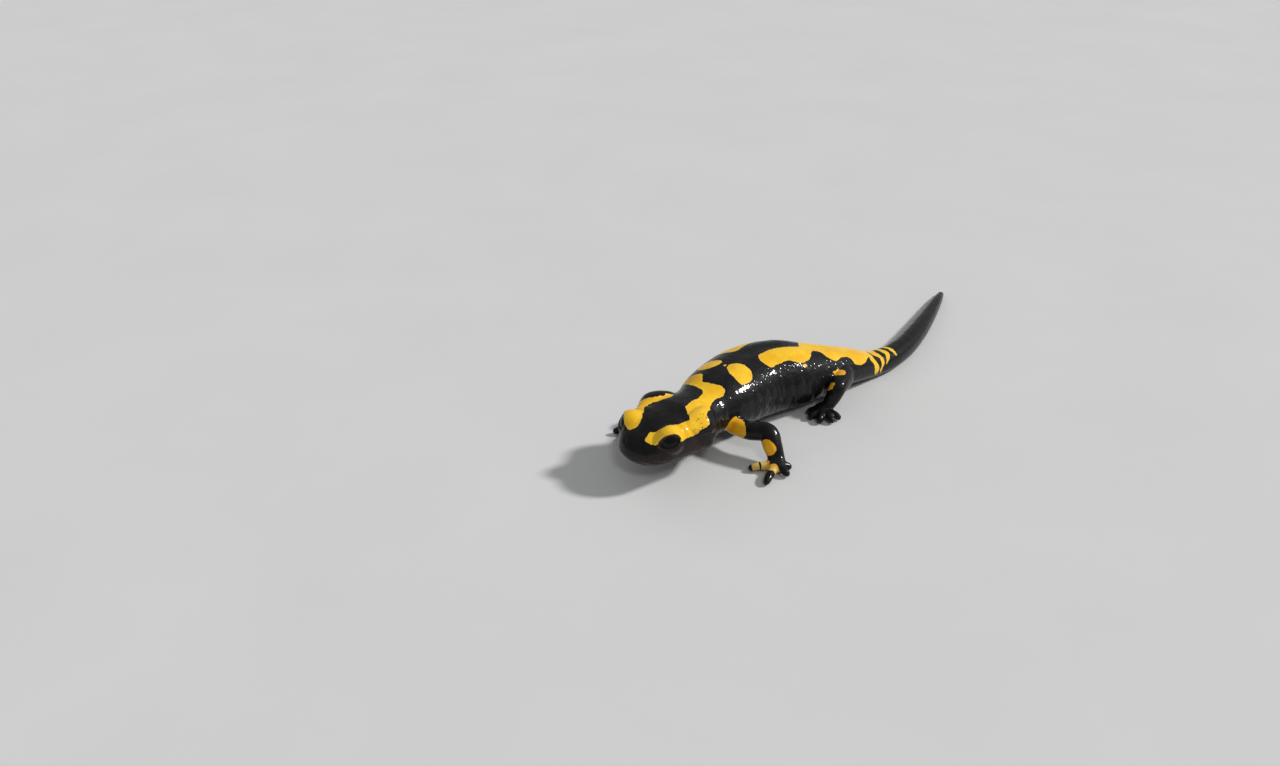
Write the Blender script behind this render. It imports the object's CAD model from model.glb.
"""The fire salamander's looks: one wet, seamless skin with yellow markings, and dark glossy eyes.

Lengths are in millimetres until a mesh is finished, and become Blender's metres through MM. +X is
forward, +Y the animal's left and +Z up, as in the frame.
"""

import math

import bpy
import numpy as np
from mathutils import Matrix, Vector, noise


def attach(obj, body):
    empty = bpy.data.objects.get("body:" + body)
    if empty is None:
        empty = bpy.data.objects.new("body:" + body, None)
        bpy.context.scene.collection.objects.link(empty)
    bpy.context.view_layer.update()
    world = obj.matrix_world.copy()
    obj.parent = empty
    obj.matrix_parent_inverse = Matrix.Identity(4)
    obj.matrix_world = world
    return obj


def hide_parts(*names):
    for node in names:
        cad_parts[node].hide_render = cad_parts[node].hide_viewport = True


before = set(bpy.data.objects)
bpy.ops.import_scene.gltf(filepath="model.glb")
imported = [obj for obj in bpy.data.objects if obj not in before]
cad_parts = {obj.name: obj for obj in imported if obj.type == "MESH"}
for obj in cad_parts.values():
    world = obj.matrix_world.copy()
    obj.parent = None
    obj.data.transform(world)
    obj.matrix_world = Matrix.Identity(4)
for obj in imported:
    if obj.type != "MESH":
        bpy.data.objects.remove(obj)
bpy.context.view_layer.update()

MM = 0.001
VOXEL = 0.25
SOFTEN_ROUNDS, RIM_ROUNDS = 6, 5  # rounds of softening all over, and more at the lids' rims
PRESS = 0.25  # how far soft undersides would reach below the floor before they are flattened on it
FLOOR_DROP = 0.04  # the floor lies so far below the belly

# The plan of the spine: distance from the snout, and the turn to the left of its run towards the tail.
SNOUT_TIP = (62.5, 5.2)
BEND_AT = (0, 23, 34, 47, 60, 72, 84, 96, 108, 125, 168)
BEND_DEG = (-5.0, -5.0, -8.0, -7.0, 20.0, 20.0, 16.0, 12.0, -4.0, -16.0, -22.0)
SPINE_STEP = 0.25
BATCH = 20000  # points placed along the spine at a time

# Stations down the spine: distance from the snout, half width, height, underside above the floor,
# share of the height that lies below the widest level, and how square the section is (2 is an ellipse).
STATIONS = {
    "lips": (0, 7.3, 6.8, 6.9, 0.46, 2.0),
    "nostrils": (4.2, 8.0, 8.7, 6.1, 0.45, 2.1),
    "eyes": (9.8, 9.3, 11.2, 5.4, 0.43, 2.2),
    "jaw": (15.5, 10.7, 12.2, 4.9, 0.42, 2.05),
    "cheeks": (18.9, 11.6, 12.8, 4.6, 0.42, 2.05),
    "nape": (26, 8.9, 12.6, 4.1, 0.43, 2.1),
    "neck": (29, 8.8, 12.9, 3.9, 0.44, 2.1),
    "shoulders": (35, 10.2, 15.4, 2.8, 0.44, 2.1),
    "chest": (44, 11.8, 17.9, 0.9, 0.43, 2.1),
    "ribs": (54, 12.4, 19.0, -PRESS, 0.42, 2.15),
    "belly": (63, 11.9, 18.6, -PRESS, 0.42, 2.15),
    "loins": (73, 10.0, 15.4, 0.3, 0.43, 2.1),
    "hips": (83, 7.6, 11.6, 1.2, 0.45, 2.0),
    "vent": (90, 6.0, 9.9, 0.7, 0.46, 2.0),
    "tail_root": (98, 4.4, 7.7, 0.0, 0.47, 2.0),
    "tail_fore": (110, 3.8, 6.7, -PRESS, 0.48, 2.0),
    "tail_middle": (128, 3.3, 5.8, -PRESS, 0.49, 2.0),
    "tail_hind": (146, 2.5, 4.5, -PRESS, 0.5, 2.0),
    "tail_end": (160, 1.7, 3.1, -PRESS, 0.5, 2.0),
    "tail_tip": (168, 0.95, 1.7, -PRESS, 0.5, 2.0),
}
SNOUT_ROUND, LIP_ROUND = 7.6, 3.8  # how far back the snout's round runs, from above and from the side
SNOUT_POWER = 2.2  # how blunt the snout is from above: 2 is a quarter of an ellipse
TAIL_ROUND, TAIL_BLUNT = 1.6, 0.12  # how far the tail's round end runs, and how open it stays at the tip
BODY_RINGS, BODY_COLUMNS = 460, 132
FIRST_RING = 0.02  # the first ring's distance from the snout
RING_SPREAD, RING_POWER = 0.35, 2.2  # rings lie closer together near the snout

# The head's own forms.
MOUTH_CORNER = 16.2
MOUTH_AT, MOUTH_DEG = (0, 4.5, 11, 16.5), (95, 111, 116, 108)  # degrees from the crown, down the side
MOUTH_WIDTH, MOUTH_DEPTH = 0.5, 0.24
LIP_AT, LIP_SPREAD, LIP_SWELL = 0.95, 0.55, 0.10  # the lips' crests, from the mouth's line
GLAND = {"at": 19.4, "deg": 50, "length": 12.4, "width": 7.4, "rise": 2.0, "round": 0.6}
EYE_AT, EYE_OUT, EYE_UP = 8.3, 6.1, 13.1
BRIDGE = {"at": 12.4, "deg": 47, "length": 1.9, "width": 2.6, "rise": 0.9}  # between the lid and the gland
BROW = {"at": EYE_AT, "deg": 46, "length": 4.0, "width": 3.2, "rise": 0.5}
LID_RADIUS = 3.95
GAZE = (0.62, 0.72, 0.31)  # forward, outward, up
EYE_OPENING = (2.85, 1.9)  # half sizes along the slit and across it
OPENING_AT = (0.3, 0.35)  # the opening's middle: towards the snout, and up, from the gaze
LID_LIFT, LID_TUCK = 0.12, 1.0  # the rim stands out so far, and the skin inside it sinks so far
LID_EDGE = 0.7  # the lid's own skin ends so far outside its ball
LID_SINK = (1.02, 0.74)  # from and to which share of the opening the lid sinks
LID_CREST = (1.08, 0.1)  # at which share the rim is highest, and how wide its crest is
RIM_WIDTH, RIM_MIDDLE = 0.16, 0.92  # shares: how wide the calm skin at the rim is, and where it is softened
UPPER_LID = 0.25  # the dark rim is so much narrower above the eye
EYE_BALL, CORNEA_RISE, CORNEA_SPREAD = 3.15, 0.22, 0.75
EYE_AROUND, EYE_DOWN, EYE_POLE = 64, 40, 0.002  # rings of an eyeball, and how nearly they reach its poles
BALL_AROUND, BALL_DOWN = 48, 24  # rings of a lid's or palm's ball
PUPIL = (2.62, 2.74)  # the pupil's edge, as millimetres ahead of the eye's centre
NOSTRIL_AT, NOSTRIL_DEG = 1.5, 36
NOSTRIL_RADIUS, NOSTRIL_DEPTH, NOSTRIL_RIM = 0.34, 0.36, 0.03
JAW = {"at": 17, "deg": 98, "length": 6.5, "spread": 22, "edge": (1.2, 0.3)}  # the creased corner of the jaw
PORES = {"at": 18.2, "deg": 49, "length": 4.6, "spread": 14, "edge": (1.15, 0.85)}  # on the left gland
PORE_APART, PORE_SIZE = 0.64, (0.27, 0.17)

# Folds behind the head, fine lumps all over, and wet grains in the material.
NECK_FOLDS = (  # distance from the snout, slant towards the belly, depth, first and last degrees
    (24.4, 1.2, 0.28, 62, 180),
    (27.0, 1.6, 0.20, 78, 180),
    (30.2, -0.6, 0.16, 70, 150),
)
FOLD_WIDTH = 0.75
GRANULE, GRANULE_RISE = 1.1, 0.025  # size of the skin's small lumps and how far they stand out
WRINKLE, WRINKLE_RISE = 2.8, 0.035
GRAIN_APART, BUMP = 1.05, 0.1  # from one wet grain to the next, and how high the material's bumps are

# The grooves between the ribs, on the flanks, and the furrow down the middle of the back.
GROOVE_FIRST, GROOVE_LAST, GROOVE_PITCH, GROOVE_DEPTH = 39.0, 80.0, 3.75, 0.22
GROOVE_DEG, GROOVE_SPREAD_DEG, GROOVE_FADE = 98, 40, 3.0
FURROW = {"first": 26, "fade_in": 8, "last": 112, "fade_out": 14, "width": 1.6, "depth": 0.35}

# Legs: the station they grow from, then named points as (forward, outward, height) from the spine there,
# each with its half width and half thickness, and digits as (forward, outward) tips from the same place.
LEGS = {
    "foreleg_left": {
        "side": 1,
        "at": 35,
        "root": ((1, 4.5, 7.4), (3.2, 3.2)),
        "upper": ((2.4, 12.6, 7.1), (2.6, 2.5)),
        "bend": ((1.2, 18.3, 7.8), (2.7, 2.6)),
        "lower": ((2.6, 21.0, 5.4), (2.65, 2.45)),
        "wrist": ((3.6, 22.9, 2.9), (2.3, 1.8)),
        "palm": ((5.2, 23.8, 1.9), (2.8, 1.5)),
        "digits": ((9.8, 18.2), (13.4, 25.7), (6.5, 28.6), (2.7, 27.2)),
    },
    "foreleg_right": {
        "side": -1,
        "at": 35,
        "root": ((1, 4.5, 7.6), (3.2, 3.2)),
        "upper": ((2.6, 10.4, 7.6), (2.75, 2.7)),
        "bend": ((4.8, 15.2, 6.8), (2.5, 2.5)),
        "lower": ((7.6, 16.6, 4.7), (2.25, 2.25)),
        "wrist": ((10.2, 16.8, 2.8), (2.1, 1.75)),
        "palm": ((12.4, 16.8, 1.9), (2.8, 1.5)),
        "digits": ((17.6, 12.4), (19.2, 17.0), (16.6, 21.6), (10.8, 21.6)),
    },
    "hindleg_left": {
        "side": 1,
        "at": 81.5,
        "root": ((-1, 3.0, 7.0), (3.5, 3.3)),
        "upper": ((1.5, 7.8, 7.6), (3.1, 3.0)),
        "bend": ((7.0, 12.5, 7.8), (2.45, 2.45)),
        "lower": ((8.5, 12.5, 5.0), (2.25, 2.15)),
        "wrist": ((9.7, 12.2, 2.7), (2.0, 1.7)),
        "palm": ((11.3, 12.0, 1.9), (2.7, 1.5)),
        "digits": ((15.6, 10.2), (17.0, 13.2), (15.7, 16.6), (12.3, 18.4), (9.2, 17.8)),
    },
    "hindleg_right": {
        "side": -1,
        "at": 84,
        "root": ((0, 3.0, 6.4), (3.4, 3.2)),
        "upper": ((1.0, 7.4, 6.2), (3.0, 2.8)),
        "bend": ((1.2, 11.0, 5.4), (2.45, 2.4)),
        "lower": ((-1.4, 13.4, 3.9), (2.2, 2.1)),
        "wrist": ((-3.4, 15.2, 2.6), (2.0, 1.7)),
        "palm": ((-4.6, 17.4, 1.9), (2.8, 1.5)),
        "digits": ((0.8, 19.9), (-1.2, 22.3), (-4.1, 23.4), (-7.1, 22.8), (-9.5, 20.8)),
    },
}
LEG_STATIONS, LEG_RING = 70, 40
DIGIT_STATIONS, DIGIT_RING = 40, 24
DIGIT_RADII = (1.2, 1.2, 1.15, 1.05, 0.75)  # from the root to the tip
DIGIT_ROOT = 0.06  # how far along its line from the palm's middle a digit starts
DIGIT_CLEAR = 0.1  # between the floor and a digit
KNUCKLE_AT, KNUCKLE_RISE = 0.55, 0.5  # how far along its line a digit is highest, and by how much
DIGIT_CROWDING = 1.6  # how much closer a digit's rings lie towards its tip
DIGIT_BLUNT = 0.02  # how open a digit's round end stays at its tip
LINE_STEPS = 8  # steps of a line between two of its points
LINE_REACH = 0.4  # how far each way a line's direction is measured
LEG_REACH = 26  # no point of a leg is further from the middle of its line
LEG_NAMES = ("root", "upper", "bend", "lower", "wrist", "palm")

# The photograph's camera: where it stands, which way it looks, and its lens on a sensor 36 mm wide.
CAMERA_AT = (227.6, 173.9, 159.4)
CAMERA_WAY = (-0.6210, -0.6210, -0.4783)
CAMERA_LENS, SENSOR = 31.16, 36.0
CAMERA_CLIP = (0.01, 50)

LIGHTS = (  # name, direction it shines from, angular size in degrees, strength
    ("key", (-0.62, 0.46, 0.60), 7.0, 3.0),
    ("top", (0.35, 0.54, 0.68), 12.0, 0.55),
    ("back", (-0.3, -0.9, 0.5), 25.0, 0.25),
)
SKY_STRENGTH, FLOOR_HALF = 0.3, 6.0

COLOURS = {
    "gold": (0.80, 0.43, 0.012),
    "light gold": (0.86, 0.52, 0.026),
    "gold at the edge": (0.88, 0.62, 0.09),
    "gold on limbs": (0.78, 0.33, 0.010),
    "gold on digits": (0.60, 0.42, 0.11),
    "black": (0.0035, 0.0033, 0.0038),
    "light black": (0.008, 0.007, 0.0078),
    "brown": (0.045, 0.024, 0.022),
    "lips": (0.085, 0.043, 0.038),
    "lid": (0.042, 0.019, 0.014),
    "olive": (0.13, 0.11, 0.045),
    "hollow": (0.004, 0.003, 0.003),
    "iris": (0.006, 0.004, 0.003),
    "iris flecks": (0.028, 0.014, 0.006),
    "pupil": (0.002, 0.002, 0.002),
    "floor": (0.57, 0.57, 0.56),
    "light floor": (0.62, 0.62, 0.61),
    "sky": (0.92, 0.94, 0.97),
    "backdrop": (0.66, 0.66, 0.655),
}


def smooth_through(knots, values):
    """A curve through the values that never overshoots them, as a function of distance."""
    x, y = np.array(knots, float), np.array(values, float)
    step = np.diff(x)
    slope = np.diff(y) / step
    tangent = np.zeros_like(y)
    tangent[0], tangent[-1] = slope[0], slope[-1]
    for i in range(1, len(x) - 1):
        before, after = slope[i - 1], slope[i]
        if before * after > 0:
            near, far = 2 * step[i] + step[i - 1], step[i] + 2 * step[i - 1]
            tangent[i] = (near + far) / (near / before + far / after)

    def at(s):
        s = np.clip(s, x[0], x[-1])
        i = np.clip(np.searchsorted(x, s) - 1, 0, len(x) - 2)
        t = (s - x[i]) / step[i]
        low, high = (1 + 2 * t) * (1 - t) ** 2, t * t * (3 - 2 * t)
        bends = t * (1 - t) ** 2 * tangent[i] + t * t * (t - 1) * tangent[i + 1]
        return low * y[i] + high * y[i + 1] + step[i] * bends

    return at


AT = [row[0] for row in STATIONS.values()]
HALF_WIDTH, HEIGHT, UNDERSIDE, LOW_SHARE, SQUARE = (
    smooth_through(AT, [row[k] for row in STATIONS.values()]) for k in range(1, 6)
)
turn = smooth_through(BEND_AT, BEND_DEG)
RUN = np.arange(0, BEND_AT[-1] + SPINE_STEP, SPINE_STEP)
HEADING = np.radians(turn(RUN + SPINE_STEP / 2))
SPINE_X = SNOUT_TIP[0] - np.concatenate([[0], np.cumsum(np.cos(HEADING) * SPINE_STEP)[:-1]])
SPINE_Y = SNOUT_TIP[1] + np.concatenate([[0], np.cumsum(np.sin(HEADING) * SPINE_STEP)[:-1]])


def spine(s):
    """The plan of the spine at s: its place, its way forward and its way left, as arrays of (x, y)."""
    place = np.stack([np.interp(s, RUN, SPINE_X), np.interp(s, RUN, SPINE_Y)], -1)
    heading = np.radians(turn(s))
    forward = np.stack([np.cos(heading), -np.sin(heading)], -1)
    left = np.stack([np.sin(heading), np.cos(heading)], -1)
    return place, forward, left


def rounded(share, power=2.0):
    """How far a round end has opened, from 0 at its tip to 1."""
    return (1 - (1 - np.clip(share, 0, 1)) ** power) ** (1 / power)


def signed_power(value, power):
    """A power of the value's size, with the value's own sign."""
    return np.sign(value) * np.abs(value) ** power


def fade(value, start, end):
    """A smooth step from 0 at start to 1 at end."""
    t = np.clip((value - start) / (end - start), 0, 1)
    return t * t * (3 - 2 * t)


def section_radius(s):
    """About how far one radian round the body takes the skin."""
    return (HALF_WIDTH(s) + HEIGHT(s) / 2) / 2


def relief(s, phi):
    """How far the skin stands out from the plain section: glands, bridges, brows, grooves and furrow."""
    side, around = np.abs(phi), section_radius(s)
    across = (side - math.radians(GLAND["deg"])) * around
    along = s - GLAND["at"]
    inside = 1 - (2 * along / GLAND["length"]) ** 2 - (2 * across / GLAND["width"]) ** 2
    made = GLAND["rise"] * np.clip(inside, 0, 1) ** GLAND["round"]
    for form in (BRIDGE, BROW):
        along = (s - form["at"]) / form["length"]
        across = (side - math.radians(form["deg"])) * around / form["width"]
        made = made + form["rise"] * np.exp(-(along**2) - across**2)
    grooves = (0.5 + 0.5 * np.cos(2 * math.pi * (s - GROOVE_FIRST) / GROOVE_PITCH)) ** 3
    fade_in = np.clip((s - GROOVE_FIRST) / GROOVE_FADE + 0.5, 0, 1)
    fade_out = np.clip((GROOVE_LAST - s) / GROOVE_FADE + 0.5, 0, 1)
    flank = np.exp(-(((np.degrees(side) - GROOVE_DEG) / GROOVE_SPREAD_DEG) ** 4))
    made = made - GROOVE_DEPTH * grooves * fade_in * fade_out * flank
    furrow_in = np.clip((s - FURROW["first"]) / FURROW["fade_in"], 0, 1)
    furrow_out = np.clip((FURROW["last"] - s) / FURROW["fade_out"], 0, 1)
    furrow = np.exp(-((side * around / FURROW["width"]) ** 2)) * furrow_in * furrow_out
    return made - FURROW["depth"] * furrow


def section(s):
    """Half width, level of the widest line, heights above and below it, and how far the ends are open."""
    height, share = HEIGHT(s), LOW_SHARE(s)
    end = rounded((BEND_AT[-1] - s) / TAIL_ROUND + TAIL_BLUNT)
    wide = HALF_WIDTH(s) * rounded(s / SNOUT_ROUND, SNOUT_POWER) * end
    tall = rounded(s / LIP_ROUND) * end
    centre = UNDERSIDE(s) + share * height
    return wide, centre, height * (1 - share) * tall, height * share * tall, tall


def skin_point(s, phi):
    """Points of the body's skin in millimetres: s down the spine, phi round from the back, left positive."""
    s, phi = np.broadcast_arrays(np.asarray(s, float), phi)
    wide, centre, above, below, tall = section(s)
    up = np.where(np.abs(phi) < math.pi / 2, above, below)
    power = 2 / SQUARE(s)
    out = signed_power(np.sin(phi), power)
    rise = signed_power(np.cos(phi), power)
    normal = np.stack([out * up, rise * wide], -1)
    normal = normal / np.maximum(np.linalg.norm(normal, axis=-1, keepdims=True), 1e-9)
    push = relief(s, phi) * tall
    place, _, left = spine(s)
    lateral = out * wide + normal[..., 0] * push
    z = centre + rise * up + normal[..., 1] * push
    return np.concatenate([place + left * lateral[..., None], z[..., None]], -1)


def body_coordinates(points):
    """For points in millimetres, how far down the spine they lie and how far round from the back."""
    s = np.empty(len(points))
    for start in range(0, len(points), BATCH):
        part = points[start : start + BATCH]
        away = (part[:, :1] - SPINE_X) ** 2 + (part[:, 1:2] - SPINE_Y) ** 2
        s[start : start + BATCH] = RUN[away.argmin(1)]
    for _ in range(3):
        place, forward, _ = spine(s)
        s = np.clip(s - ((points[:, :2] - place) * forward).sum(1), FIRST_RING, RUN[-1])
    place, _, left = spine(s)
    lateral = ((points[:, :2] - place) * left).sum(1)
    wide, centre, above, below, _ = section(s)
    height = points[:, 2] - centre
    power = SQUARE(s) / 2
    out = (np.abs(lateral) / np.maximum(wide, 0.05)) ** power
    rise = (np.abs(height) / np.maximum(np.where(height > 0, above, below), 0.05)) ** power
    phi = np.arctan2(out, np.where(height > 0, rise, -rise)) * np.where(lateral < 0, -1, 1)
    return s, phi


def new_object(name, data):
    """An object of the data in the scene."""
    made = bpy.data.objects.new(name, data)
    bpy.context.scene.collection.objects.link(made)
    return made


def aim(thing, place, way, axis):
    """Puts an object at a place, with one of its own axes along a way."""
    thing.location = Vector(place)
    thing.rotation_mode = "QUATERNION"
    thing.rotation_quaternion = Vector(way).to_track_quat(axis, "Y")


def unit_ring(turned, around):
    """A ring of points on a ball of radius 1, turned so far down from its pole."""
    angles = np.arange(around) * 2 * math.pi / around
    out, up = math.sin(turned), math.cos(turned)
    return np.stack([np.cos(angles) * out, np.sin(angles) * out, np.full(around, up)], -1)


class Pieces:
    """Closed pieces of mesh, gathered in millimetres and made one object."""

    def __init__(self):
        self.points, self.faces = [], []

    def loft(self, rings):
        """A closed body through the rings, each a loop of as many points."""
        first, sides = len(self.points), len(rings[0])
        last = first + (len(rings) - 1) * sides
        for low in range(first, last, sides):
            high = low + sides
            for j in range(sides):
                after = (j + 1) % sides
                self.faces.append((low + j, low + after, high + after, high + j))
        self.faces += [tuple(range(first, first + sides))[::-1], tuple(range(last, last + sides))]
        self.points += np.concatenate(rings).tolist()

    def ball(self, centre, radii, axes=np.eye(3)):
        """An ellipsoid with the given half sizes along its axes."""
        turns = [math.pi * k / BALL_DOWN for k in range(1, BALL_DOWN)]
        rings = [centre + (unit_ring(turned, BALL_AROUND) * np.array(radii)) @ axes for turned in turns]
        self.loft(rings[::-1])

    def object(self, name):
        """The pieces as one new object, its mesh still in millimetres."""
        mesh = bpy.data.meshes.new(name)
        mesh.from_pydata(self.points, [], self.faces)
        return new_object(name, mesh)


def eye_frame(side):
    """The eye's centre, and its axes along the slit, across it and along the gaze."""
    place, forward, left = spine(np.array(EYE_AT))
    ahead, out = Vector((*forward, 0)), Vector((*(left * side), 0))
    centre = Vector((*place, EYE_UP)) + out * EYE_OUT
    gaze = (ahead * GAZE[0] + out * GAZE[1] + Vector((0, 0, GAZE[2]))).normalized()
    slit = (ahead - gaze * gaze.dot(ahead)).normalized()
    return np.array(centre), np.array([slit, gaze.cross(slit), gaze])


def from_spine(leg, ahead, out, up):
    """A point in millimetres, given from the spine where a leg grows."""
    place, forward, left = spine(np.array(leg["at"]))
    return np.array([*(place + forward * ahead + left * leg["side"] * out), up])


def leg_line(leg):
    """A leg's line from inside the body to its palm, with its lengths as leg_path gives them."""
    return leg_path([from_spine(leg, *leg[name][0]) for name in LEG_NAMES])


def through(a, b, c, d, t):
    """A smooth curve from b at 0 to c at 1, with a before them and d after."""
    square, cube = 2 * a - 5 * b + 4 * c - d, 3 * b - a - 3 * c + d
    return 0.5 * (2 * b + (c - a) * t + square * t**2 + cube * t**3)


def leg_path(points):
    """A smooth line through the points, and its length at each of its places and at each point."""
    ends = [2 * points[0] - points[1], *points, 2 * points[-1] - points[-2]]
    line, knots = [points[0]], [0]
    for four in zip(ends, ends[1:], ends[2:], ends[3:]):
        line += [through(*four, t) for t in np.linspace(0, 1, LINE_STEPS + 1)[1:]]
        knots.append(len(line) - 1)
    line = np.array(line)
    run = np.concatenate([[0], np.cumsum(np.linalg.norm(np.diff(line, axis=0), axis=1))])
    return line, run, run[knots]


def line_at(line, run, s):
    """The place on a line at s, and the directions across the line and over it there, for one s or many."""

    def place(at):
        return np.stack([np.interp(at, run, line[:, k]) for k in range(3)], -1)

    def unit(way):
        return way / np.linalg.norm(way, axis=-1, keepdims=True)

    ahead = unit(place(s + LINE_REACH) - place(s - LINE_REACH))
    across = unit(np.cross((0, 0, 1.0), ahead))
    return place(s), across, np.cross(ahead, across)


def tube_rings(line, run, wide, thick, stations, sides):
    """Rings round a line, each an ellipse as flat as the line allows."""
    rings = []
    for s in stations:
        centre, across, over = line_at(line, run, s)
        angles = np.arange(sides) * 2 * math.pi / sides
        sideways = np.outer(np.cos(angles) * wide(s), across)
        upward = np.outer(np.sin(angles) * thick(s), over)
        rings.append(centre + sideways + upward)
    return rings


def digit_lines(leg):
    """The line of each digit of a leg, from the palm to the tip."""
    palm = from_spine(leg, *leg["palm"][0])
    made = []
    for ahead, out in leg["digits"]:
        tip = from_spine(leg, ahead, out, DIGIT_RADII[-1] + DIGIT_CLEAR)
        root = palm * (1 - DIGIT_ROOT) + tip * DIGIT_ROOT
        root[2] = DIGIT_RADII[0] + DIGIT_CLEAR
        middle = root * (1 - KNUCKLE_AT) + tip * KNUCKLE_AT + np.array([0, 0, KNUCKLE_RISE])
        made.append(leg_path([root, middle, tip]))
    return made


def add_leg(pieces, leg):
    """One leg from inside the body to its digits."""
    line, run, knots = leg_line(leg)
    wide = smooth_through(knots, [leg[n][1][0] for n in LEG_NAMES])
    thick = smooth_through(knots, [leg[n][1][1] for n in LEG_NAMES])
    pieces.loft(tube_rings(line, run, wide, thick, np.linspace(0, run[-1], LEG_STATIONS), LEG_RING))
    spread, depth = leg["palm"][1]
    pieces.ball(line[-1], (spread, spread, depth))
    for digit, along, _ in digit_lines(leg):
        length = along[-1]
        radius = smooth_through(np.linspace(0, length, len(DIGIT_RADII)), DIGIT_RADII)

        def round_tip(s):
            return radius(s) * rounded((length - s) / DIGIT_RADII[-1] + DIGIT_BLUNT)

        stations = length * (1 - (1 - np.linspace(0, 1, DIGIT_STATIONS)) ** DIGIT_CROWDING)
        pieces.loft(tube_rings(digit, along, round_tip, round_tip, stations, DIGIT_RING))


def rough_skin():
    """Body, lids and legs as one closed surface of even small faces, in millimetres."""
    pieces = Pieces()
    share = np.linspace(0, 1, BODY_RINGS)
    spread = RING_SPREAD * share**RING_POWER + (1 - RING_SPREAD) * share
    stations = FIRST_RING + (RUN[-1] - FIRST_RING) * spread
    phi = np.arange(BODY_COLUMNS) * 2 * math.pi / BODY_COLUMNS
    phi = np.where(phi > math.pi, phi - 2 * math.pi, phi)
    rings = [skin_point(s, phi) for s in stations]
    pieces.loft(rings)
    for side in (1, -1):
        centre, axes = eye_frame(side)
        pieces.ball(centre, [LID_RADIUS] * 3, axes)
    for leg in LEGS.values():
        add_leg(pieces, leg)
    rough = pieces.object("rough")
    step = rough.modifiers.new("even faces", "REMESH")
    step.mode = "VOXEL"
    step.voxel_size = VOXEL
    step.adaptivity = 0
    bpy.context.view_layer.update()
    mesh = bpy.data.meshes.new_from_object(rough.evaluated_get(bpy.context.evaluated_depsgraph_get()))
    bpy.data.objects.remove(rough)
    return mesh


def rows(items, key, width=3, kind=np.float32):
    """One value of each of a mesh's items, as the rows of an array."""
    values = np.empty(len(items) * width, kind)
    items.foreach_get(key, values)
    return values.reshape(-1, width)


def set_points(mesh, points):
    """Moves a mesh's vertices to the points."""
    mesh.vertices.foreach_set("co", points.astype(np.float32).ravel())
    mesh.update()


def soften(points, edges, rounds, weight=0.5):
    """Moves each point towards the mean of its neighbours, round after round."""
    count = np.bincount(edges.ravel(), minlength=len(points))[:, None]
    weight = np.broadcast_to(np.asarray(weight, float), (len(points),))[:, None]
    for _ in range(rounds):
        total = np.zeros_like(points)
        for k in range(3):
            total[:, k] = np.bincount(edges[:, 0], points[edges[:, 1], k], len(points))
            total[:, k] += np.bincount(edges[:, 1], points[edges[:, 0], k], len(points))
        points = points + (total / count - points) * weight
    return points


def lid_fields(points, side):
    """Where points lie on a lid: the way there from its centre and how far that is, how far across the slit
    they lie, and how far out from the middle of the eye's opening, where 1 is the rim."""
    centre, axes = eye_frame(side)
    away = points - centre
    distance = np.linalg.norm(away, axis=1)
    outward = away / distance[:, None]
    along, across, ahead = (outward @ axes.T).T
    across = -side * across
    slit = (along * LID_RADIUS - OPENING_AT[0]) / EYE_OPENING[0]
    over = (across * LID_RADIUS - OPENING_AT[1]) / EYE_OPENING[1]
    return outward, distance, across, np.where(ahead > 0, np.hypot(slit, over), FAR_OUT)


def noise_at(points, size, seed):
    """Smooth noise from about -1 to 1 with lumps of about the given size in millimetres."""
    moved = points / size + seed
    return np.array([noise.noise(Vector(p)) for p in moved.tolist()])


def nearest_on(line, run, points):
    """For each point, the distance along a line of its nearest place there, and how far away it is."""
    best, at = np.full(len(points), 1e9), np.zeros(len(points))
    for k in range(len(line) - 1):
        a, b = line[k], line[k + 1]
        way = b - a
        share = np.clip((points - a) @ way / (way @ way), 0, 1)
        away = np.linalg.norm(points - a - share[:, None] * way, axis=1)
        nearer = away < best
        best = np.where(nearer, away, best)
        at = np.where(nearer, run[k] + share * (run[k + 1] - run[k]), at)
    return at, best


def angle_round(line, run, at, points):
    """Degrees round a line from its upper side, where the skin faces up, positive to the line's left."""
    place, across, over = line_at(line, run, at)
    away = points - place
    return np.degrees(np.arctan2((away * across).sum(1), (away * over).sum(1)))


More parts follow.
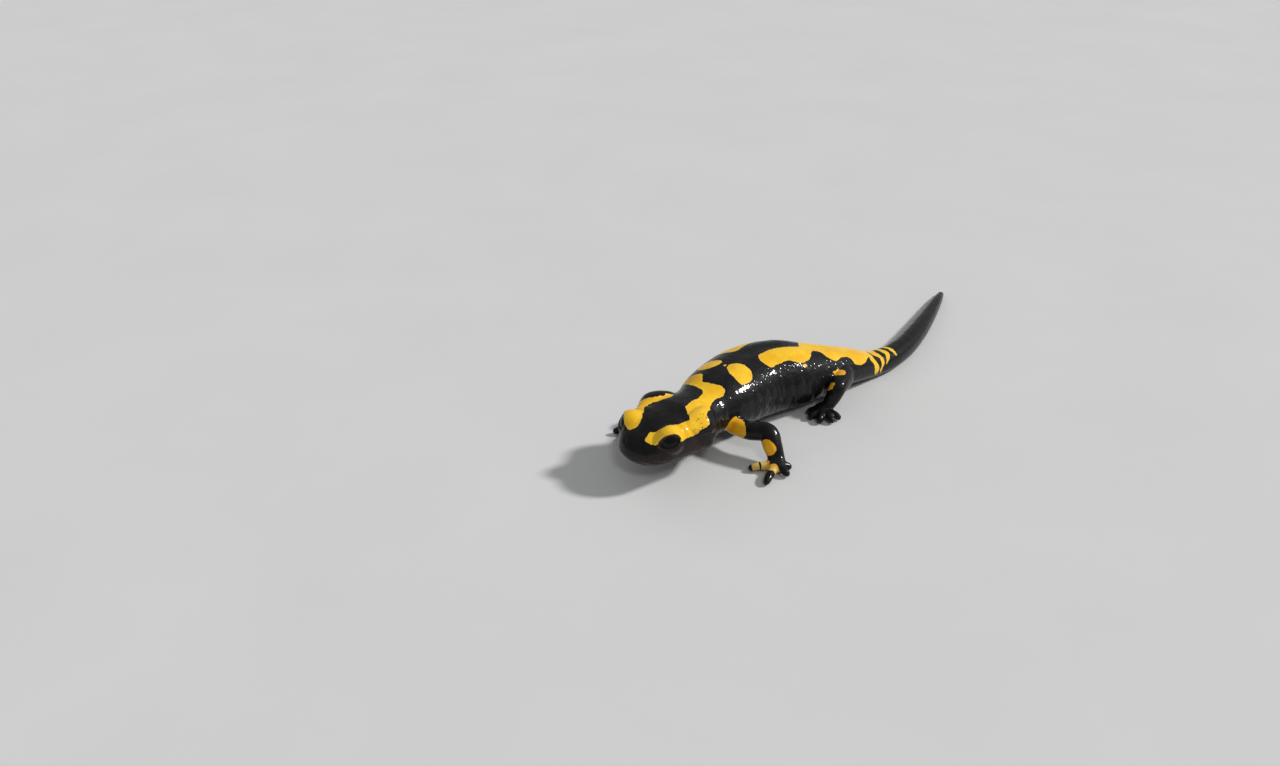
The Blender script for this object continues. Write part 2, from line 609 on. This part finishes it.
# Yellow markings on the body, as closed outlines of (distance from the snout, degrees round from the back).
MARKS = {
    "left_stripe": (
        (2.9, 27), (3.0, 21), (3.5, 17), (4.4, 15.5), (5.2, 13.5), (5.8, 16.5), (6.4, 21), (7.4, 24),
        (8.6, 27), (10.8, 31), (12.2, 35), (14.5, 36), (15.4, 34), (16.2, 30), (17.2, 24), (18.5, 16),
        (20.2, 13), (22.3, 12), (24.2, 13), (26.2, 12), (27.6, 10), (29, 5), (29.4, -2), (29.8, -13),
        (30.3, -28), (31.2, -42), (32.2, -56), (33.6, -56), (34.6, -42), (35.2, -26), (35.0, -19),
        (33.5, -13), (32.2, -8), (32.3, -2), (33, 15), (33.3, 21), (33.1, 29), (32.4, 35), (31.2, 37.5),
        (29.9, 35.5), (28.4, 34), (26.6, 36.5), (25.4, 39.5), (22.8, 40), (20.6, 39), (19.3, 41),
        (18.8, 47), (18.4, 53), (17.1, 57), (15.7, 58), (14.6, 63), (12.8, 64), (10.5, 63), (8.6, 61),
        (7.9, 57), (7.1, 52), (6.3, 48), (5.6, 45.5), (5.0, 44), (4.4, 45.5), (3.6, 44.5), (3.1, 40),
        (2.9, 33),
    ),
    "right_stripe": (
        (4.1, -27), (4.6, -19), (5.3, -15), (6.8, -15), (8.8, -19), (10.2, -23), (11.4, -27), (12.8, -32),
        (14.2, -33), (15.3, -31), (16.2, -28.5), (17.1, -25), (18, -21), (19.2, -18.5), (20.6, -17),
        (22, -20), (22.8, -26), (21.8, -27.5), (20.5, -26.5), (19.1, -27), (17.7, -29), (16.9, -32),
        (16.2, -37), (15.7, -44), (15, -52), (13, -56), (10.4, -51), (8, -44), (5.6, -40), (4.4, -35),
    ),
    "left_oval": (
        (42.4, 0), (44.1, 3), (45.1, 11), (45.2, 20), (44.8, 27), (44.1, 34), (43, 39), (41.5, 41.5),
        (40, 42), (38.6, 41), (38.1, 35), (38.4, 24), (39.1, 13), (40.6, 4),
    ),
    "pale_fleck": ((41.6, -4.6), (42.3, -4.2), (42.5, -2.4), (41.8, -1.6), (41.3, -3)),
    "right_front": (
        (37.5, -27), (38.4, -17), (40.4, -12), (42.4, -10.5), (43.6, -14), (43.5, -21), (43, -31),
        (42, -41), (40, -46), (38.4, -42), (37.7, -35),
    ),
    "right_long": (
        (48.9, -33), (49.5, -19), (51.1, -14), (53, -16), (55.3, -21), (58, -27), (61, -36), (61, -48),
        (57, -57), (52, -54), (49.2, -44),
    ),
    "large_band": (
        (52.5, 15), (53.6, 12), (55.3, 10.5), (57.7, 8), (61.1, 5), (65.4, 5), (69, 2), (70.4, -8),
        (71.4, -20), (73.6, -31), (79, -35), (86, -32), (91, -28), (94, -24), (95.2, -8), (95.3, 14),
        (95.3, 31), (94.3, 34), (92.8, 36), (91.2, 46), (90, 54), (87.6, 59), (85.7, 54), (85.2, 45),
        (84.5, 36), (82.8, 32), (81.1, 34), (79.4, 40), (78.2, 40), (76.6, 33), (75.6, 25), (75, 17.5),
        (73.6, 14.5), (72.3, 15), (70.9, 23), (69.4, 33), (67.8, 37.5), (66, 40), (64.2, 39), (62.4, 34),
        (60.4, 33.5), (58.8, 36), (56.9, 36), (54.6, 38.5), (52.8, 35), (51.7, 26), (51.9, 19),
    ),
    "flank_spot": ((65.6, 44), (66.4, 42.6), (67.2, 44.5), (66.6, 48), (65.8, 47)),
    "tail_ring_1": (
        (93.2, 20), (93.3, 45), (94, 60), (94.2, 76), (94.1, 92), (94.9, 111), (95.6, 104), (96.2, 88),
        (96.2, 70), (95.6, 51), (95.2, 34), (95.4, 0), (96.3, -30), (96.3, -60), (95.6, -84), (94.2, -86),
        (93.8, -56), (93.2, -20),
    ),
    "tail_ring_2": (
        (96.2, 0), (96.3, 20), (97.6, 36), (97.8, 54), (97.4, 73), (96.8, 90), (97.2, 109), (97.7, 88),
        (98.6, 68), (99, 55), (99, 32), (98.9, 0), (99.4, -30), (98.7, -60), (97.6, -78), (97.3, -56),
        (97, -30), (96, -16),
    ),
    "tail_ring_3": (
        (100.8, 0), (100.9, 27), (100.6, 40), (100, 55), (99.4, 73), (100.3, 66), (101.6, 51),
        (102.6, 32), (102.8, 14), (102.6, 0), (102.1, -26), (101.4, -54), (100.7, -40), (100.7, -20),
    ),
    "tail_ring_4": (
        (104.4, 0), (104.2, 24), (104.5, 46), (105, 52), (105.4, 34), (105.7, 10), (105.6, -14),
        (105.1, -42), (104.5, -38), (104.2, -16),
    ),
    "left_shoulder": (
        (31.9, 87), (31.1, 93), (30.7, 100), (30.6, 108), (30.9, 117), (31.5, 125), (33, 125),
        (33.6, 106), (33, 91),
    ),
    "right_shoulder": (
        (31.6, -86), (30.8, -96), (31, -110), (32, -120), (35, -118), (35.6, -100), (34.6, -86),
    ),
}
# Faint olive streaks low on the left flank: their two ends, as above, and half their width.
STREAKS = (((46.4, 80), (43.0, 100), 0.36), ((54.4, 86), (52.6, 97), 0.25), ((27.3, 70), (27.9, 76), 0.25))
# Yellow on the limbs: leg, millimetres along its line, degrees round from the top, half length, half width.
LEG_SPOTS = (
    ("foreleg_left", 6.2, -76, 3.1, 3.4),
    ("foreleg_left", 18.6, -60, 2.1, 2.1),
    ("foreleg_right", 6.4, -60, 3.0, 3.2),
    ("foreleg_right", 16.0, -70, 2.0, 1.8),
    ("hindleg_left", 8.6, -15, 1.7, 1.6),
    ("hindleg_left", 14.2, -35, 1.5, 1.5),
    ("hindleg_right", 8.0, -20, 2.0, 2.0),
    ("hindleg_right", 14.0, -40, 1.6, 1.5),
)
# Yellow on digits: leg, digit, and the shares of its length between which it is yellow.
DIGIT_BANDS = (
    ("foreleg_left", 0, 0.18, 0.52),
    ("foreleg_left", 0, 0.57, 0.84),
    ("foreleg_left", 1, 0.16, 0.46),
    ("foreleg_right", 2, 0.20, 0.60),
    ("hindleg_right", 2, 0.20, 0.60),
)
# Regions with looks of their own: soft steps from 0 to 1, down the spine, in degrees round from the back on
# either side, or in degrees to the left.
REGIONS = {
    "cheek": (("s", 25, 13), ("side", 55, 88)),
    "shoulder": (("s", 27, 29), ("s", 38, 36), ("side", 76, 86)),
    "snout": (("s", 5.2, 3.4), ("s", 0.2, 0.8), ("left", 28, 38), ("left", 78, 64)),
    "flank": (("s", 24, 34), ("s", 104, 84), ("side", 110, 80)),
}
ON_BODY = 1.5  # skin that stands out less than this beyond the body's own is the body's
FAR = 3.0  # fields of distance stop here, in millimetres
LIMB_OWN = (1.15, 0.25)  # a limb's skin lies within its radius times the first, and the second further
DIGIT_OWN = 1.7  # a digit's skin lies within so far of its line
LIMB_EDGE = 0.3  # a limb's yellow reaches so far past its own skin
FAR_OUT = 9.0  # a share that is surely outside the eye's opening


def closed_curve(corners, steps=6):
    """A smooth closed curve through the corners."""
    four = [np.roll(np.array(corners, float), k, 0) for k in (1, 0, -1, -2)]
    return np.stack([through(*four, t) for t in np.arange(steps) / steps], 1).reshape(-1, 2)


def depth_inside(points, outline):
    """How far inside a closed outline each point lies, negative outside, in the outline's own unit."""
    made = np.full(len(points), -FAR)
    low, high = outline.min(0) - FAR, outline.max(0) + FAR
    near = np.flatnonzero(((points > low) & (points < high)).all(1))
    here = points[near]
    best, crossings = np.full(len(near), 1e9), np.zeros(len(near), int)
    for a, b in zip(outline, np.roll(outline, -1, 0)):
        way = b - a
        share = np.clip((here - a) @ way / max(way @ way, 1e-12), 0, 1)
        away = here - a - share[:, None] * way
        best = np.minimum(best, (away * away).sum(1))
        spans = (a[1] > here[:, 1]) != (b[1] > here[:, 1])
        slope = way[0] / (way[1] if way[1] else 1e-12)
        crossings += spans & (here[:, 0] < a[0] + (here[:, 1] - a[1]) * slope)
    made[near] = np.clip(np.sqrt(best) * np.where(crossings % 2, 1, -1), -FAR, FAR)
    return made


def limb_fields(points, beyond):
    """How far inside the limbs' yellow each point lies, how far it is a limb's, and if it is on a digit."""
    yellow = np.full(len(points), -FAR)
    limb, digits = yellow.copy(), np.zeros(len(points))
    for name, leg in LEGS.items():
        line, run, knots = leg_line(leg)
        reach = np.linalg.norm(points - line.mean(0), axis=1) < LEG_REACH
        near = np.flatnonzero(reach & (beyond > 0))
        here = points[near]
        at, away = nearest_on(line, run, here)
        radius = smooth_through(knots, [leg[n][1][0] for n in LEG_NAMES])(at)
        own = np.clip(radius * LIMB_OWN[0] + LIMB_OWN[1] - away, -FAR, FAR)
        round_degrees = angle_round(line, run, at, here) * leg["side"]
        found = np.full(len(near), -FAR)
        for spot, middle, degrees, long, wide in LEG_SPOTS:
            if spot != name:
                continue
            turned = (round_degrees - degrees + 180) % 360 - 180
            share = np.hypot((at - middle) / long, np.radians(turned) * radius / wide)
            found = np.maximum(found, (1 - share) * min(long, wide))
        for k, (digit, along, _) in enumerate(digit_lines(leg)):
            on, off = nearest_on(digit, along, here)
            digit_own = np.clip(DIGIT_OWN - off, -FAR, FAR)
            own = np.maximum(own, digit_own)
            digits[near] = np.maximum(digits[near], fade(digit_own, -0.2, 0.2) * fade(on, 1.2, 2.8))
            for band, which, start, end in DIGIT_BANDS:
                if band == name and which == k:
                    inside = np.minimum(on - start * along[-1], end * along[-1] - on)
                    found = np.maximum(found, np.minimum(inside, digit_own))
        yellow[near] = np.maximum(yellow[near], found)
        limb[near] = np.maximum(limb[near], np.minimum(own, beyond[near] * 1.5))
    return yellow, limb, digits


def outside(points, s, phi):
    """How far each point stands out beyond the body's own skin."""
    place, _, left = spine(s)
    lateral = ((points[:, :2] - place) * left).sum(1)
    middle, skin = section(s)[1], skin_point(s, phi)
    lateral_skin = ((skin[:, :2] - place) * left).sum(1)
    return np.hypot(lateral, points[:, 2] - middle) - np.hypot(lateral_skin, skin[:, 2] - middle)


def on_plan(pairs):
    """Pairs of (distance from the snout, degrees round) as millimetres on the body's skin, unrolled."""
    pairs = np.array(pairs, float)
    return np.stack([pairs[:, 0], np.radians(pairs[:, 1]) * section_radius(pairs[:, 0])], 1)


def markings(points, plan, beyond):
    """How far inside yellow each point lies, how far it is a limb's, and whether it is on a digit."""
    yellow = np.full(len(points), -FAR)
    for corners in MARKS.values():
        yellow = np.maximum(yellow, depth_inside(plan, on_plan(closed_curve(corners))))
    on_limbs, limb, digits = limb_fields(points, np.clip(beyond, 0, None))
    yellow = np.where(limb > 0, np.minimum(yellow, -limb), yellow)
    return np.maximum(yellow, np.minimum(on_limbs, limb + LIMB_EDGE)), limb, digits


def cut_lids(points, yellow):
    """The points with the lids' openings sunk and their rims raised, and the lids' fields."""
    rim, near_rim, lid = np.zeros(len(points)), np.zeros(len(points)), np.full(len(points), FAR)
    for side in (1, -1):
        outward, distance, across, share = lid_fields(points, side)
        on_lid = distance < LID_RADIUS + LID_EDGE
        sink = LID_TUCK * fade(share, *LID_SINK) * on_lid
        lift = LID_LIFT * np.exp(-(((share - LID_CREST[0]) / LID_CREST[1]) ** 2)) * on_lid
        points = points + outward * (lift - sink)[:, None]
        rim = np.maximum(rim, np.exp(-(((share - 1.0) / RIM_WIDTH) ** 2)) * on_lid)
        from_rim = (share - 1) * EYE_OPENING[1]
        upper = UPPER_LID * fade(across, -0.1, 0.3)
        lid = np.where(on_lid, np.clip(from_rim + upper, -FAR, FAR), lid)
        yellow = np.where(on_lid, np.minimum(yellow, from_rim - 0.02), yellow)
        near_rim = np.maximum(near_rim, fade(np.abs(share - RIM_MIDDLE), 0.5, 0.25) * on_lid)
    return points, yellow, rim, near_rim, lid


def mouth_fields(s, phi, beyond):
    """How far across the mouth's line each point lies, and the shares of mouth, groove and lips there."""
    across = (np.abs(phi) - np.radians(smooth_through(MOUTH_AT, MOUTH_DEG)(s))) * section_radius(s)
    mouth = fade(s, MOUTH_CORNER + 0.6, MOUTH_CORNER - 1.2) * (np.abs(beyond) < 1.2)
    groove = np.exp(-((across / MOUTH_WIDTH) ** 2)) * mouth
    lips = np.exp(-(((np.abs(across) - LIP_AT) / LIP_SPREAD) ** 2)) * mouth
    return across, mouth, groove, lips


def nostril_fields(points):
    """The share of a nostril at each point, and how far its rim stands out there."""
    nostril, rise = np.zeros(len(points)), np.zeros(len(points))
    for side in (1, -1):
        there = skin_point(NOSTRIL_AT, math.radians(NOSTRIL_DEG) * side)
        away = np.linalg.norm(points - there, axis=1)
        nostril = np.maximum(nostril, np.exp(-((away / NOSTRIL_RADIUS) ** 2)))
        rise += NOSTRIL_RIM * np.exp(-(((away - 0.7) / 0.3) ** 2))
    return nostril, rise


def fold_depth(s, side_degrees, beyond):
    """How deep the folds behind the head are."""
    made = np.zeros(len(s))
    for at, slant, depth, start, end in NECK_FOLDS:
        line = at + slant * (side_degrees - 90) / 90
        shown = fade(side_degrees, start - 14, start + 8) * fade(side_degrees, end + 12, end - 12)
        made += depth * np.exp(-(((s - line) / FOLD_WIDTH) ** 2)) * shown * (beyond < ON_BODY)
    return made


def streak_share(plan, beyond):
    """The share of the olive streaks at each point."""
    made = np.zeros(len(plan))
    for start, end, width in STREAKS:
        _, away = nearest_on(on_plan((start, end)), (0, 1), plan)
        made = np.maximum(made, fade(away, width * 2, 0) * (beyond < 1))
    return made


def region(name, s, degrees):
    """The share of a named region at each point of the body."""
    fields, made = {"s": s, "left": degrees, "side": np.abs(degrees)}, 1.0
    for field, start, end in REGIONS[name]:
        made = made * fade(fields[field], start, end)
    return made


def oval(form, s, degrees):
    """The share of an oval on the body at each point."""
    share = np.hypot((s - form["at"]) / form["length"], (degrees - form["deg"]) / form["spread"])
    return fade(share, *form["edge"])


def shades(s, degrees, beyond, limb, lips):
    """Shares for the material: brown cheeks and lips, warm limbs, creases, pores and wet grains."""
    cheek, shoulder, snout, flank = (region(n, s, degrees) for n in ("cheek", "shoulder", "snout", "flank"))
    on_body = beyond < ON_BODY
    return {
        "brown": np.maximum(0.45 * cheek * on_body, 0.5 * lips),
        "warm": np.maximum(fade(limb, -0.6, 0.8), shoulder),
        "creases": np.maximum(oval(JAW, s, np.abs(degrees)), 0.2 * snout) * on_body,
        "pores": oval(PORES, s, degrees),
        "grain": 1.6 * snout + 0.35 + 0.65 * flank * (limb < 0),
    }


def make_skin():
    """The whole skin as one object, with its markings and shades as layers of its mesh."""
    mesh = rough_skin()
    edges = rows(mesh.edges, "vertices", 2, np.int32)
    points = soften(rows(mesh.vertices, "co").astype(float), edges, SOFTEN_ROUNDS)
    s, phi = body_coordinates(points)
    degrees = np.degrees(phi)
    beyond = outside(points, s, phi)
    plan = np.stack([s, phi * section_radius(s)], 1)

    # Markings first, on the plain surface, and then the lids.
    yellow, limb, digits = markings(points, plan, beyond)
    points, yellow, rim, near_rim, lid = cut_lids(points, yellow)
    points = soften(points, edges, RIM_ROUNDS, 0.5 * near_rim)
    set_points(mesh, points)
    normals = rows(mesh.vertex_normals, "vector").astype(float)

    # Then the small forms, along the normals.
    across, mouth, groove, lips = mouth_fields(s, phi, beyond)
    nostril, nostril_rise = nostril_fields(points)
    calm = 1 - 0.75 * np.maximum(rim, groove)
    fine = GRANULE_RISE * noise_at(points, GRANULE, 7.3)
    broad = WRINKLE_RISE * noise_at(points, WRINKLE, 2.1) * fade(s, 4, 16)
    push = LIP_SWELL * lips - MOUTH_DEPTH * groove + nostril_rise - NOSTRIL_DEPTH * nostril
    push += (fine + broad) * calm - fold_depth(s, np.abs(degrees), beyond)
    points = points + normals * push[:, None]
    points[:, 2] = np.maximum(points[:, 2], 0)
    set_points(mesh, points * MM)

    layers = shades(s, degrees, beyond, limb, lips)
    layers.update(
        yellow_mm=yellow,
        lid_mm=lid,
        mouth_mm=np.clip(across, -FAR, FAR),
        mouth=mouth,
        nostril=nostril,
        digit=digits,
        streak=streak_share(plan, beyond),
    )
    for name, values in layers.items():
        layer = mesh.attributes.new(name, "FLOAT", "POINT")
        layer.data.foreach_set("value", values.astype(np.float32))
    mesh.shade_smooth()
    mesh.name = "skin"
    return new_object("skin", mesh)


class Nodes:
    """A short way to wire the nodes of a material or a world."""

    def __init__(self, owner):
        owner.use_nodes = True
        self.owner, self.tree = owner, owner.node_tree
        self.tree.nodes.clear()

    def add(self, kind, inputs=(), **settings):
        """A node with its settings, each input linked, set, or given a named colour."""
        node = self.tree.nodes.new(kind)
        for key, value in settings.items():
            setattr(node, key, value)
        for key, value in dict(inputs).items():
            if isinstance(value, bpy.types.NodeSocket):
                self.tree.links.new(value, node.inputs[key])
            elif isinstance(value, str):
                node.inputs[key].default_value = (*COLOURS[value], 1.0)
            else:
                node.inputs[key].default_value = value
        return node

    def math(self, operation, a, b=0.0):
        return self.add("ShaderNodeMath", {0: a, 1: b}, operation=operation).outputs[0]

    def times(self, a, b):
        return self.math("MULTIPLY", a, b)

    def scale(self, value, start, end, low=0.0, high=1.0):
        """A smooth step from low at start to high at end."""
        inputs = {"Value": value, "From Min": start, "From Max": end, "To Min": low, "To Max": high}
        return self.add("ShaderNodeMapRange", inputs, interpolation_type="SMOOTHSTEP").outputs["Result"]

    def mix(self, share, a, b):
        """From colour a to colour b. The node's sockets 6, 7 and 2 are its colours."""
        return self.add("ShaderNodeMix", {0: share, 6: a, 7: b}, data_type="RGBA").outputs[2]

    def layer(self, name):
        """One of the mesh's layers."""
        return self.add("ShaderNodeAttribute", attribute_name=name, attribute_type="GEOMETRY").outputs["Fac"]

    def noise(self, where, size_mm, detail=3.0, rough=0.55):
        inputs = {"Vector": where, "Scale": 1 / (size_mm * MM), "Detail": detail, "Roughness": rough}
        return self.add("ShaderNodeTexNoise", inputs).outputs["Fac"]

    def cells(self, where, apart_mm, random=1.0):
        inputs = {"Vector": where, "Scale": 1 / (apart_mm * MM), "Randomness": random}
        return self.add("ShaderNodeTexVoronoi", inputs)

    def finish(self, shader, output="ShaderNodeOutputMaterial"):
        """The material or world, showing the shader."""
        self.add(output, {"Surface": shader.outputs[0]})
        return self.owner

    def surface(self, inputs):
        """The material, with one surface of the inputs."""
        return self.finish(self.add("ShaderNodeBsdfPrincipled", inputs))


def skin_material():
    """Wet black skin with ragged yellow markings, from the mesh's layers."""
    n = Nodes(bpy.data.materials.new("wet_salamander_skin"))
    where = n.add("ShaderNodeTexCoord").outputs["Object"]

    # Markings: a ragged edge, calmer at the lids, paler just inside it, and dark pores on the gland.
    ragged = n.times(n.math("SUBTRACT", n.noise(where, 0.9), 0.5), 0.8)
    ragged = n.times(ragged, n.scale(n.layer("lid_mm"), 0.4, 1.4, 0.3, 1.0))
    inside = n.math("ADD", n.layer("yellow_mm"), ragged)
    yellow = n.scale(inside, -0.06, 0.07)
    edge = n.scale(inside, 0.32, 0.05)
    gold = n.mix(n.scale(n.noise(where, 4.0), 0.35, 0.65), "gold", "light gold")
    gold = n.mix(n.times(edge, 0.4), gold, "gold at the edge")
    gold = n.mix(n.times(n.layer("warm"), 0.6), gold, "gold on limbs")
    gold = n.mix(n.layer("digit"), gold, "gold on digits")
    holes = n.cells(where, PORE_APART).outputs["Distance"]
    holes = n.times(n.scale(holes, *PORE_SIZE), n.layer("pores"))
    yellow = n.times(yellow, n.math("SUBTRACT", 1.0, holes))

    # The black: brown cheeks, lips, lid rings and olive streaks, and darker hollows over everything.
    black = n.mix(n.scale(n.noise(where, 2.2), 0.3, 0.7), "black", "light black")
    mottle = n.scale(n.noise(where, 1.3), 0.35, 0.65, 0.55, 1.0)
    black = n.mix(n.times(n.layer("brown"), mottle), black, "brown")
    from_mouth = n.math("ABSOLUTE", n.layer("mouth_mm"))
    lip = n.times(n.scale(from_mouth, 0.62, 0.16), n.layer("mouth"))
    black = n.mix(n.times(lip, 0.7), black, "lips")
    black = n.mix(n.scale(n.layer("lid_mm"), 0.30, 0.02), black, "lid")
    olive = n.times(n.layer("streak"), n.scale(n.noise(where, 0.8), 0.4, 0.6, 0.0, 0.6))
    black = n.mix(olive, black, "olive")
    colour = n.mix(yellow, black, gold)
    line = n.times(n.scale(from_mouth, 0.17, 0.05), n.layer("mouth"))
    inner = n.scale(n.layer("lid_mm"), 0.02, -0.12)
    dark = n.math("MAXIMUM", n.math("MAXIMUM", line, inner), n.layer("nostril"))
    colour = n.mix(dark, colour, "hollow")

    # Wet grains: round, apart from each other, each its own height, low on the yellow.
    cells = n.cells(where, GRAIN_APART, 0.9)
    domes = n.scale(cells.outputs["Distance"], 0.55, 0.0)
    own = n.add("ShaderNodeSeparateColor", {"Color": cells.outputs["Color"]}).outputs["Red"]
    domes = n.times(domes, n.scale(own, 0.1, 0.9, 0.1, 0.7))
    domes = n.times(domes, n.layer("grain"))
    domes = n.times(domes, n.scale(yellow, 0.0, 1.0, 1.0, 0.5))
    height = n.math("ADD", domes, n.times(n.noise(where, 0.6, 2.0), 0.10))
    wrinkles = n.times(n.noise(where, 0.65, 1.0), n.layer("creases"))
    height = n.math("ADD", height, n.times(wrinkles, 4.0))
    height = n.math("SUBTRACT", height, n.times(line, 0.8))
    bump = n.add("ShaderNodeBump", {"Height": height, "Distance": BUMP * MM}).outputs["Normal"]
    rough = n.scale(n.noise(where, 1.6), 0.3, 0.7, 0.38, 0.55)
    return n.surface(
        {
            "Base Color": colour,
            "Roughness": rough,
            "Normal": bump,
            "Coat Normal": bump,
            "Coat Weight": 0.55,
            "Coat Roughness": 0.09,
            "Coat IOR": 1.36,
            "Specular IOR Level": 0.07,
        }
    )


def eye_material():
    """A dark, glossy eye, its iris a little browner than its pupil."""
    n = Nodes(bpy.data.materials.new("salamander_eye"))
    where = n.add("ShaderNodeTexCoord").outputs["Object"]
    ahead = n.add("ShaderNodeSeparateXYZ", {"Vector": where}).outputs["Z"]
    fleck = n.noise(where, 0.35)
    iris = n.mix(n.scale(fleck, 0.35, 0.7), "iris", "iris flecks")
    pupil = n.scale(ahead, PUPIL[0] * MM, PUPIL[1] * MM)
    colour = n.mix(pupil, iris, "pupil")
    rough = n.scale(fleck, 0.3, 0.7, 0.12, 0.2)
    return n.surface(
        {
            "Base Color": colour,
            "Roughness": rough,
            "Specular IOR Level": 0.2,
            "Coat Weight": 0.06,
            "Coat Roughness": 0.04,
        }
    )


def make_eye(name, side, material):
    """A smooth eyeball whose own +Z is its gaze, with the cornea's slight bulge."""
    centre, axes = eye_frame(side)
    pieces = Pieces()
    rings = []
    for k in range(EYE_DOWN + 1):
        turned = math.pi * min(max(k / EYE_DOWN, EYE_POLE), 1 - EYE_POLE)
        reach = EYE_BALL + CORNEA_RISE * math.exp(-((turned / CORNEA_SPREAD) ** 2))
        rings.append(unit_ring(turned, EYE_AROUND) * reach)
    pieces.loft(rings[::-1])
    made = pieces.object(name)
    made.data.transform(Matrix.Scale(MM, 4))
    made.data.shade_smooth()
    turn_to = Matrix([list(a) for a in axes]).transposed().to_4x4()
    made.matrix_world = Matrix.Translation(Vector(centre) * MM) @ turn_to
    made.data.materials.append(material)
    return made


def make_world():
    """A dim, even sky that lights the figure, and a pale backdrop that only the camera sees."""
    n = Nodes(bpy.data.worlds.new("studio"))
    sky = n.add("ShaderNodeBackground", {"Color": "sky", "Strength": SKY_STRENGTH})
    backdrop = n.add("ShaderNodeBackground", {"Color": "backdrop"})
    seen = n.add("ShaderNodeLightPath").outputs["Is Camera Ray"]
    both = n.add("ShaderNodeMixShader", {0: seen, 1: sky.outputs[0], 2: backdrop.outputs[0]})
    bpy.context.scene.world = n.finish(both, "ShaderNodeOutputWorld")


def floor_and_lights():
    """A pale floor, the world and the sun lamps."""
    n = Nodes(bpy.data.materials.new("pale_floor"))
    where = n.add("ShaderNodeTexCoord").outputs["Object"]
    colour = n.mix(n.noise(where, 60.0), "floor", "light floor")
    pale = n.surface({"Base Color": colour, "Roughness": 0.8, "Specular IOR Level": 0.2})
    mesh = bpy.data.meshes.new("floor")
    half, level = FLOOR_HALF, -FLOOR_DROP * MM
    corners = [(-half, -half, level), (half, -half, level), (half, half, level), (-half, half, level)]
    mesh.from_pydata(corners, [], [(0, 1, 2, 3)])
    mesh.materials.append(pale)
    floor = new_object("floor", mesh)
    make_world()
    for name, way, spread, power in LIGHTS:
        lamp = bpy.data.lights.new(name, "SUN")
        lamp.angle = math.radians(spread)
        lamp.energy = power
        holder = new_object(name, lamp)
        aim(holder, way, way, "Z")
        holder.visible_glossy = name == "key"


def make_camera():
    """The photograph's camera."""
    data = bpy.data.cameras.new("photo_view")
    data.lens, data.sensor_width = CAMERA_LENS, SENSOR
    data.clip_start, data.clip_end = CAMERA_CLIP
    camera = new_object("photo_view", data)
    aim(camera, Vector(CAMERA_AT) * MM, CAMERA_WAY, "-Z")
    bpy.context.scene.camera = camera


def main():
    """Dresses the frame's nodes: the skin for the flesh, and a ball for each eye."""
    bpy.context.scene.view_settings.view_transform = "Standard"
    make_camera()
    floor_and_lights()
    skin = make_skin()
    skin.data.materials.append(skin_material())
    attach(skin, "root")
    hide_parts(*[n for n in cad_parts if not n.startswith("eye")])
    dark = eye_material()
    for name, side in (("eye_left", 1), ("eye_right", -1)):
        eye = make_eye(name + "_ball", side, dark)
        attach(eye, "root")
        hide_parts(name)


main()
